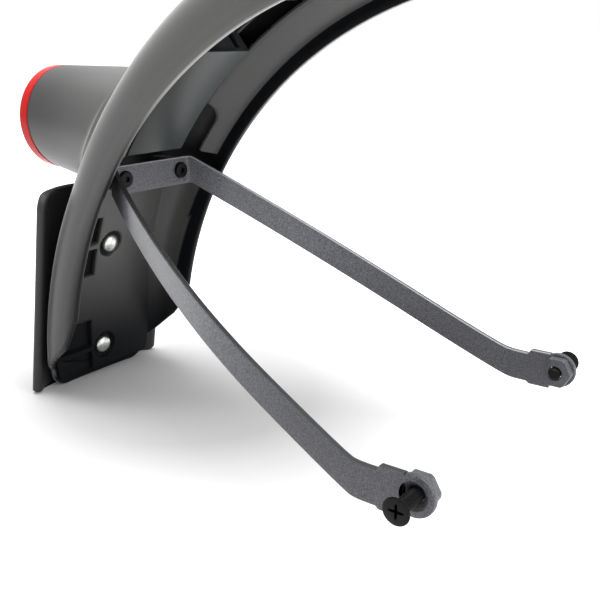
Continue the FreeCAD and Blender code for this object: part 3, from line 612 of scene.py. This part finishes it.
# painted shade on the splash walls and, darker, on the ribs, bosses and posts up in the roof
shellParts += [shaded(splashWall(side), darkness["wall"]) for side in (1, -1)]
shellParts += [shaded(part, darkness["roof"]) for part in innerPieces()]
shellParts += [shaded(tongueHalf(side), 0.0) for side in (1, -1)]
makeShaded("mudguardShell", shellParts, shellPlastic, "mudguard_shell")
print("shell made")


# Flap: a plan line, flat in the middle and swept forward at the sides, carried up a leaning line
def mudFlap():
    lean = flapTurn
    tall = (flap["top"] - flap["bottom"]) / math.cos(lean)
    radius = ((flap["half"] - flap["flat"]) ** 2 + flap["sweep"] ** 2) / (2 * flap["sweep"])
    a = np.linspace(0, np.pi / 2, 12)
    k, e = flap["corner"], flap["edge"]
    lower = flap["lowCorner"]
    rise = np.concatenate([lower - lower * np.cos(a), np.linspace(lower, tall - k, flap["up"])[1:-1],
                           tall - k + k * np.sin(a)])
    narrow = np.where(rise > tall - k, k - np.sqrt(np.maximum(k ** 2 - (rise - tall + k) ** 2, 0)), 0)
    narrow += np.where(rise < lower, lower - np.sqrt(np.maximum(lower ** 2 - (lower - rise) ** 2, 0)), 0)
    end = np.minimum(rise, tall - rise)
    thin = np.where(end < e, e - np.sqrt(np.maximum(e ** 2 - (e - end) ** 2, 0)), 0)
    s = np.linspace(-1, 1, flap["across"])
    turn = np.linspace(0, np.pi, 9)[1:-1]
    half = flap["thick"] / 2
    rows = []
    for up, cut, slim in zip(rise, narrow, thin):
        wide = flap["half"] - cut - half
        y = s * wide
        bend = np.clip(np.abs(y) - flap["flat"], 0, None)
        x = radius - np.sqrt(radius ** 2 - bend ** 2)
        slope = np.gradient(x, y)
        normal = np.stack([np.ones_like(y), -slope], axis=-1) / np.hypot(1, slope)[:, None]
        line = np.stack([x - half, y], axis=-1)
        h = half - slim
        front, back = line + normal * h, line - normal * h
        along = np.stack([-normal[:, 1], normal[:, 0]], axis=-1)
        rightEnd = line[-1] + h * (normal[-1] * np.cos(turn)[:, None] + along[-1] * np.sin(turn)[:, None])
        leftEnd = line[0] - h * (normal[0] * np.cos(turn)[:, None] + along[0] * np.sin(turn)[:, None])
        plan = np.concatenate([front, rightEnd, back[::-1], leftEnd])
        rows.append(np.stack([plan[:, 0] * math.cos(lean) + up * math.sin(lean), plan[:, 1],
                              up * math.cos(lean) - plan[:, 0] * math.sin(lean)], axis=-1))
    shift = flap["place"][0] + (flap["bottom"] - flap["place"][1]) * math.tan(lean)
    return closedSweep(np.array(rows) + np.array([shift, 0.0, flap["bottom"]]))


makePiece("mudFlap", [mudFlap()], flapRubber, "mud_flap")
print("flap made")


# Rivets: a domed head on a shank with a rounded tail, turned about the flap's normal
def flapRivets():
    a = np.linspace(0, np.pi / 2, 10)
    parts = []
    for seat, depth in zip(rivetSeats(), rivet["depths"]):
        dome = [(-0.5 - (rivet["headTall"] - 0.5) * math.cos(t), rivet["headR"] * math.sin(t)) for t in a]
        back = depth + flap["thick"] + rivet["washer"]
        tail = [(back + rivet["tailTall"] * math.sin(t), rivet["tailR"] * math.cos(t) ** 0.6) for t in a]
        profile = dome + [(0.0, rivet["headR"]), (0.0, rivet["shankR"]), (back, rivet["shankR"])] + tail
        parts.append(lathe(seat, flapNormal, profile, 40))
    return parts


makePiece("flapRivets", flapRivets(), zincPlate, "flap_rivets", 50)
print("rivets made")

# Stay: a rounded strip section carried along the bent plan line, its height following the blank's edges
stay = {"strip": 2.5, "crossX": -166.5, "bend": 2.5, "bowStart": (-60.0, 55.1), "bowR": 340.0, "endX": -22.0,
        "endY": 60.4, "crossZ": (66.8, 79.2), "reach": -165.0, "upperMiddle": (-100.8, 43.0),
        "upperEnd": (-22.1, 4.8), "lowerMiddle": (-93.6, 26.6), "lowerEnd": (-21.2, -7.8),
        "roundings": (1.2, 0.9), "edge": 0.6, "kneeX": -23.5, "lugR": 7.2, "ear": (-13.3, -11.7, -3.4),
        "earZ": (-8.7, 6.7), "bossFlats": 11.8, "bossCorner": 0.8, "bossTall": 3.8, "holeR": 2.8,
        # from the dark line on, these keys set painted shade and painted highlight in the coat's colour: edge
        # lines, the bends, the lugs, the arms near the bend and inside the arch
        "sinkR": 4.95, "steps": 120, "darkLine": 0.85, "paleLine": -0.7,
        "fade": (-125.0, -35.0), "darkStart": (-160.0, -142.0), "paintedLightAtBend": (-0.33, -0.08), "lugShade": 0.48,
        "gloom": 0.45, "gloomReach": (-162.0, -148.0)}


# circle through three points of the side view, as a height for each x
def arcHeight(p, q, r, x):
    (x1, z1), (x2, z2), (x3, z3) = p, q, r
    left = 2 * np.array([[x2 - x1, z2 - z1], [x3 - x1, z3 - z1]])
    right = [x2 ** 2 - x1 ** 2 + z2 ** 2 - z1 ** 2, x3 ** 2 - x1 ** 2 + z3 ** 2 - z1 ** 2]
    cx, cz = np.linalg.solve(left, right)
    radius = math.hypot(x1 - cx, z1 - cz)
    return cz + np.sign(z2 - cz) * np.sqrt(radius ** 2 - (x - cx) ** 2)


# half of the plan line from the middle of the cross-piece to the lug, along the strip's inner face
def stayPlan():
    turn = math.atan2(stay["endY"] - stay["bowStart"][1], stay["endX"] - stay["bowStart"][0])
    cx = stay["bowStart"][0] + stay["bowR"] * math.sin(turn)
    cy = stay["bowStart"][1] - stay["bowR"] * math.cos(turn)
    slope = math.asin((cx - stay["crossX"]) / stay["bowR"])
    cornerY = cy + stay["bowR"] * math.cos(slope)
    corner = math.pi / 2 - slope
    tangent = stay["bend"] * math.tan(corner / 2)
    crossY = np.linspace(0, cornerY - tangent, 30)
    cross = np.stack([np.full_like(crossY, stay["crossX"]), crossY], axis=-1)
    b = np.linspace(0, corner, 14)[1:]
    bend = np.stack([stay["crossX"] + stay["bend"] * (1 - np.cos(b)),
                     cornerY - tangent + stay["bend"] * np.sin(b)], axis=-1)
    x = np.concatenate([np.linspace(bend[-1, 0], stay["bowStart"][0], 70)[1:],
                        np.linspace(stay["bowStart"][0], stay["kneeX"], 16)[1:],
                        np.linspace(stay["kneeX"], stay["ear"][0] - 0.4, 26)[1:],
                        np.linspace(stay["ear"][0] - 0.2, stay["ear"][2], 30)])
    y = np.where(x < stay["bowStart"][0], cy + np.sqrt(stay["bowR"] ** 2 - (x - cx) ** 2), 0)
    line = stay["bowStart"][1] + (x - stay["bowStart"][0]) * math.tan(turn)
    y = np.where(x < stay["bowStart"][0], y, np.minimum(line, stay["endY"]))
    return np.concatenate([cross, bend, np.stack([x, y], axis=-1)])


# the section at each point of the plan line between the blank's two edges, mirrored for the other arm
def stayStrip():
    plan = stayPlan()
    slope = np.gradient(plan, axis=0)
    slope /= np.linalg.norm(slope, axis=1, keepdims=True)
    normal = np.stack([-slope[:, 1], slope[:, 0]], axis=-1)
    x = np.clip(plan[:, 0], stay["reach"], None)
    lowZ, highZ = stay["crossZ"]
    within = np.minimum(x, -10)
    upper = arcHeight((stay["reach"], highZ), stay["upperMiddle"], stay["upperEnd"], within)
    lower = arcHeight((stay["reach"], lowZ), stay["lowerMiddle"], stay["lowerEnd"], within)
    upper = softMax(upper, stay["upperEnd"][1], stay["roundings"][0])
    lower = softMax(lower, stay["lowerEnd"][1], stay["roundings"][1])
    ramp = smoothStep(stay["ear"][0], stay["ear"][1], x)
    upper = upper + (stay["earZ"][1] - upper) * ramp
    lower = lower + (stay["earZ"][0] - lower) * ramp
    e = stay["edge"]
    loop = roundedLoop((0.0, -1.0), (stay["strip"], 1.0), e)
    isUpper = loop[:, 1] > 0
    rest = np.where(isUpper, loop[:, 1] - 1.0, loop[:, 1] + 1.0)
    z = np.where(isUpper, upper[:, None], lower[:, None]) + rest
    flat = plan[:, None, :] + normal[:, None, :] * loop[None, :, :1]
    left = np.concatenate([flat, z[..., None]], axis=-1)
    right = left * np.array([1.0, -1.0, 1.0])
    points, faces = closedSweep(np.concatenate([right[::-1], left[1:]]))
    # edges: a painted shade line and a painted highlight line, with the right arm's whole top edge in painted
    # shade; painted shade at the bends and inside the arch, painted light near the bends that turns to
    # painted shade towards the lugs
    isOuter = loop[:, 0] > stay["strip"] / 2
    onCorner = np.tile([False, True, True, False], 4)
    line = np.where(isUpper & onCorner, np.where(isOuter, stay["darkLine"], stay["paleLine"]), 0.0)
    along = smoothStep(*stay["fade"], x)
    isArm = smoothStep(0.2, 0.7, slope[:, 0])
    start = (1 - smoothStep(*stay["darkStart"], x)) * isArm
    # painted light near the bend, fading to painted shade at the lug
    near, far = ((pale + (stay["lugShade"] - pale) * along) * isArm for pale in stay["paintedLightAtBend"])
    inArch = 1 - smoothStep(*stay["gloomReach"], x)
    near, far = (shade + (stay["gloom"] - shade) * inArch for shade in (near, far))
    near = near + (stay["darkLine"] - near) * start
    paintedArmShade = np.concatenate([near[::-1], far[1:]])[:, None] + 0 * line
    top = np.where(loop[:, 1] > 1.0 - e / 2, stay["darkLine"], 0.0)
    nearLine = np.where(isArm[:, None] > 0.5, top, line)
    line = np.concatenate([nearLine[::-1], 0 * nearLine[1:] + line])
    shade = np.where(line == 0, paintedArmShade, line)
    return points, faces, np.concatenate([shade[:1], shade, shade[-1:]]).ravel()


# lug: rings from the countersunk hole out to the round end, over the edge and round the hexagonal boss
def stayLug(side):
    phi = np.linspace(0, 2 * np.pi, stay["steps"], endpoint=False)
    c = np.cos(phi)
    cut = stay["ear"][2] / np.minimum(c, -1e-6)
    isCut = (c < 0) & (cut < stay["lugR"])
    outline = np.where(isCut, cut, stay["lugR"])
    e = np.where(isCut, 0.02, stay["edge"])
    sector = np.mod(phi, np.pi / 3) - np.pi / 6
    apothem = stay["bossFlats"] / 2
    boss = np.minimum(apothem / np.cos(sector), apothem + stay["bossCorner"] * 0.7)
    boss = np.where(c < 0, np.minimum(boss, (stay["ear"][2] + 0.5) / np.minimum(c, -1e-6)), boss)
    hole = np.zeros_like(phi) + stay["holeR"]
    sink = stay["sinkR"] - stay["holeR"]
    deep, tall = stay["strip"], stay["strip"] + stay["bossTall"]
    rings = [(hole, tall - 0.4), (hole, sink), (hole + sink, 0.0), (outline - e, 0.0),
             (outline - 0.3 * e, 0.3 * e), (outline, e), (outline, deep - e),
             (outline - 0.3 * e, deep - 0.3 * e), (outline - e, deep), (np.minimum(boss, outline - e), deep),
             (boss, deep + 0.1), (boss, tall - 0.5), (boss - 0.15, tall - 0.15), (boss - 0.5, tall),
             (hole + 0.4, tall)]
    place = (0.0, side * (stay["endY"] + stay["strip"]), 0.0)
    return ringLoft(place, (1, 0, 0), (0, 0, 1), (0, -side, 0), rings, phi)


# the lugs take the painted shade of the arms' lower ends
stayParts = [stayStrip()] + [shaded(stayLug(side), stay["lugShade"]) for side in (1, -1)]
makeShaded("stayBracket", stayParts, powderCoat, "stay_bracket", 40)
print("stay made")

# Arm screws: rings from the cross recess over the head and down a helical thread; the recess's outline
# swells four times in a turn, and the thread's radius follows depth less turn
armScrew = {"face": 73.4, "headR": 4.6, "rim": 0.4, "shankR": 2.5, "long": 18.0, "recess": (0.75, 1.85),
            "deep": 2.2, "pitch": 0.8, "thread": 0.16, "threadStart": 3.2, "threadEnd": 17.4, "perTurn": 8,
            "steps": 64}


def armEndScrew(side):
    phi = np.linspace(0, 2 * np.pi, armScrew["steps"], endpoint=False)
    star = armScrew["recess"][0] + armScrew["recess"][1] * np.abs(np.cos(2 * phi)) ** 5
    flat = np.zeros_like(phi)
    headR, shankR, rim = armScrew["headR"], armScrew["shankR"], armScrew["rim"]
    rings = [(flat, armScrew["deep"]), (star * 0.7, armScrew["deep"] - 0.2), (star * 0.93, 0.5), (star, 0.15),
             (star + 0.15, 0.0), (flat + headR - 0.25, 0.0), (flat + headR - 0.05, 0.12),
             (flat + headR, 0.25), (flat + headR, rim), (flat + shankR, rim + headR - shankR),
             (flat + shankR, armScrew["threadStart"])]
    step = armScrew["pitch"] / armScrew["perTurn"]
    depth = np.arange(armScrew["threadStart"], armScrew["threadEnd"], step)
    root = shankR - armScrew["thread"]
    rings += [(root + armScrew["thread"] * np.cos(2 * np.pi * d / armScrew["pitch"] - phi), d) for d in depth]
    rings += [(flat + root - 0.5, armScrew["long"]), (flat, armScrew["long"])]
    place = (0.0, side * armScrew["face"], 0.0)
    return ringLoft(place, (1, 0, 0), (0, 0, 1), (0, -side, 0), rings, phi, False)


armScrews = [armEndScrew(side) for side in (1, -1)]
makePiece("armEndScrews", armScrews, blackZinc, "arm_end_screws")
print("arm screws made")

# Lamp lens: a cap with a rounded edge, a shallow dome, a spigot and ridges on its inner face, turned
# about the lamp's axis
lens = {"seat": -220.6, "back": -226.5, "radius": 23.5, "round": 1.2, "dome": 0.2, "spigotR": 20.8,
        "spigotX": -214.6, "wall": 2.2, "ridge": 0.4, "pitch": 2.3}


def lampLens():
    a = np.linspace(0, np.pi / 2, 10)
    bend = lens["round"]
    shoulder = lens["radius"] - bend
    edgeX = lens["back"] + lens["dome"]
    r = np.linspace(0, shoulder, 14)[:-1]
    domed = [(lens["back"] + lens["dome"] * (p / shoulder) ** 2, p) for p in r]
    rim = [(edgeX + bend - bend * math.cos(t), shoulder + bend * math.sin(t)) for t in a]
    seat = [(lens["seat"] - 0.3, lens["radius"]), (lens["seat"], lens["radius"] - 0.3),
            (lens["seat"], lens["spigotR"]), (lens["spigotX"], lens["spigotR"]),
            (lens["spigotX"], lens["spigotR"] - lens["wall"])]
    floor = lens["back"] + lens["wall"]
    q = np.arange(lens["spigotR"] - lens["wall"], 0.0, -lens["pitch"] / 2)
    ridges = [(floor + lens["ridge"] * (i % 2), p) for i, p in enumerate(q)]
    profile = domed + rim + seat + ridges + [(floor, 0.0)]
    return lathe((0.0, 0.0, barrel["mouth"][2]), (1, 0, 0), profile, 128)


makePiece("lampLens", [lampLens()], lensAcrylic, "lamp_lens", 30)

# Cable cover: a rounded plate section carried round the arc, with a slotted flange up from its front end
cover = {"radius": 188.4, "thick": 2.0, "half": 16.6, "angles": (34.8, 52.6), "flangeTop": 198.6,
         "flangeTurn": 0.61, "slot": (9.5, 12.5), "edge": 0.5, "darkSide": (-11.0, -14.2)}


def cableCover():
    plate = (cover["radius"], cover["radius"] + cover["thick"])
    flange = (cover["radius"] + 0.4, cover["flangeTop"])
    half, end = cover["half"], cover["angles"][1]
    parts = [ringBlock(plate, (-half, half), cover["angles"], cover["edge"], 60)]
    for sides in ((-half, cover["slot"][0]), (cover["slot"][1], half)):
        parts.append(ringBlock(flange, sides, (end - cover["flangeTurn"], end), 0.4, 4))
    # painted shade along the cover's near side, beside the rim
    return [part + (smoothStep(*cover["darkSide"], part[0][:, 1]),) for part in parts]


makeShaded("cableCover", cableCover(), coverPlastic, "cable_cover")
print("lens and cover made")

# solids that show as they are, with their finishes
finishes = {"stay_screws": blackZinc, "flap_rivet_washers": zincPlate,
            "stay_thread_inserts": brassTurned, "lens_seal": flapRubber, "lamp_board": boardMask,
            "lamp_board_screws": zincPlate, "lamp_leds": ledResin, "lamp_reflector": reflectorMetal,
            "cable_grommet": flapRubber}
for node, finish in finishes.items():
    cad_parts[node].data.materials.clear()
    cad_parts[node].data.materials.append(finish)

# Stage: a pale floor that glows to white away from the shadow, and a world that looks white to the
# camera; its lengths are in metres
stage = {"floorHalf": 6.0, "floorTone": "#e6e6e6", "floorLift": (0.0, 1.0), "liftReach": (0.06, 0.21),
         "shadowPlace": (-0.160, 0.010, -0.03), "worldLight": 0.36, "worldSeen": 1.0}


# 1 for a camera, glossy or transmission ray, else 0
def seenRay(tree):
    path = addNode(tree, "ShaderNodeLightPath")
    some = addNode(tree, "ShaderNodeMath", {0: (path, "Is Camera Ray"), 1: (path, "Is Glossy Ray")},
                   operation="MAXIMUM")
    return addNode(tree, "ShaderNodeMath", {0: (some, 0), 1: (path, "Is Transmission Ray")},
                   operation="MAXIMUM")


floorZ = cadBox[0][2]
half = stage["floorHalf"]
floorMesh = bpy.data.meshes.new("studioFloor")
corners = [(-half, -half, floorZ), (half, -half, floorZ), (half, half, floorZ), (-half, half, floorZ)]
floorMesh.from_pydata(corners, [], [(0, 1, 2, 3)])
floor = bpy.data.objects.new("studioFloor", floorMesh)
bpy.context.scene.collection.objects.link(floor)
paper = bpy.data.materials.new("studioPaper")
paper.use_nodes = True
paperTree = paper.node_tree
paperTree.nodes.clear()
seen = seenRay(paperTree)
paperPlace = addNode(paperTree, "ShaderNodeTexCoord")
# the glow is held back within reach of the shadow place and fills in cast shadows beyond it: painted light
# over the farther shadows, so only the shadow round the part's foot shows
reach = addNode(paperTree, "ShaderNodeVectorMath", {0: (paperPlace, "Object"), 1: stage["shadowPlace"]},
                operation="DISTANCE")
liftStart, liftEnd = stage["liftReach"]
leastLift, mostLift = stage["floorLift"]
rise = addNode(paperTree, "ShaderNodeMapRange", {"Value": (reach, "Value"), "From Min": liftStart,
                                                 "From Max": liftEnd, "To Min": leastLift,
                                                 "To Max": mostLift})
lift = addNode(paperTree, "ShaderNodeMath", {0: (seen, 0), 1: (rise, "Result")}, operation="MULTIPLY")
matt = addNode(paperTree, "ShaderNodeBsdfDiffuse", {"Color": linear(stage["floorTone"])})
glow = addNode(paperTree, "ShaderNodeEmission", {"Strength": (lift, 0)})
both = addNode(paperTree, "ShaderNodeAddShader", {0: (matt, 0), 1: (glow, 0)})
addNode(paperTree, "ShaderNodeOutputMaterial", {"Surface": (both, 0)})
floorMesh.materials.append(paper)

world = bpy.data.worlds.new("studioWorld")
bpy.context.scene.world = world
world.use_nodes = True
worldTree = world.node_tree
worldTree.nodes.clear()
seenWorld = seenRay(worldTree)
level = addNode(worldTree, "ShaderNodeMapRange", {"Value": (seenWorld, 0), "To Min": stage["worldLight"],
                                                  "To Max": stage["worldSeen"]})
sky = addNode(worldTree, "ShaderNodeBackground", {"Color": linear("#ffffff"), "Strength": (level, "Result")})
addNode(worldTree, "ShaderNodeOutputWorld", {"Surface": (sky, 0)})

# Camera: solved from the rims and the stay in the photo, in the frame's axes
view = {"place": (102.47, -262.21, 129.54), "azimuth": 35.84, "elevation": 17.13, "focal": 840.42,
        "image": 600.0}
az, el = math.radians(view["azimuth"]), math.radians(view["elevation"])
backward = np.array([math.sin(az) * math.cos(el), -math.cos(az) * math.cos(el), math.sin(el)])
rightward = np.array([math.cos(az), math.sin(az), 0.0])
upward = np.cross(backward, rightward)
cameraData = bpy.data.cameras.new("photoCamera")
camera = bpy.data.objects.new("photoCamera", cameraData)
bpy.context.scene.collection.objects.link(camera)
pose = np.eye(4)
pose[:3, 0], pose[:3, 1], pose[:3, 2] = rightward, upward, backward
pose[:3, 3] = np.array(view["place"]) * mm
camera.matrix_world = Matrix(pose.tolist())
cameraData.sensor_width = 36.0
cameraData.lens = view["focal"] / view["image"] * cameraData.sensor_width
cameraData.clip_start = 0.01
bpy.context.scene.camera = camera

# Lamps: wide soft boxes placed by the camera's own directions, in metres, aimed at the middle of the part
lamps = {"key": {"left": 0.30, "up": 1.15, "away": 0.20, "size": 1.2, "power": 11.0},
         "top": {"left": -0.35, "up": 1.10, "away": -0.10, "size": 1.2, "power": 9.0},
         "side": {"left": -0.90, "up": 0.45, "away": -0.60, "size": 0.8, "power": 5.0}}
target = np.array([-0.09, 0.0, 0.06])
depthward = -backward * np.array([1, 1, 0])
depthward /= np.linalg.norm(depthward)
for name, lamp in lamps.items():
    data = bpy.data.lights.new(name, "AREA")
    data.shape = "DISK"
    data.size = lamp["size"]
    data.energy = lamp["power"]
    item = bpy.data.objects.new(name, data)
    bpy.context.scene.collection.objects.link(item)
    place = target - rightward * lamp["left"] + np.array([0, 0, lamp["up"]]) + depthward * lamp["away"]
    outward = (place - target) / np.linalg.norm(place - target)
    first = np.cross([0.0, 1.0, 0.0], outward)
    first /= np.linalg.norm(first)
    turn = np.eye(4)
    turn[:3, 0], turn[:3, 1], turn[:3, 2], turn[:3, 3] = first, np.cross(outward, first), outward, place
    item.matrix_world = Matrix(turn.tolist())
bpy.context.scene.view_settings.view_transform = "Standard"
print("stage, camera and lamps placed")
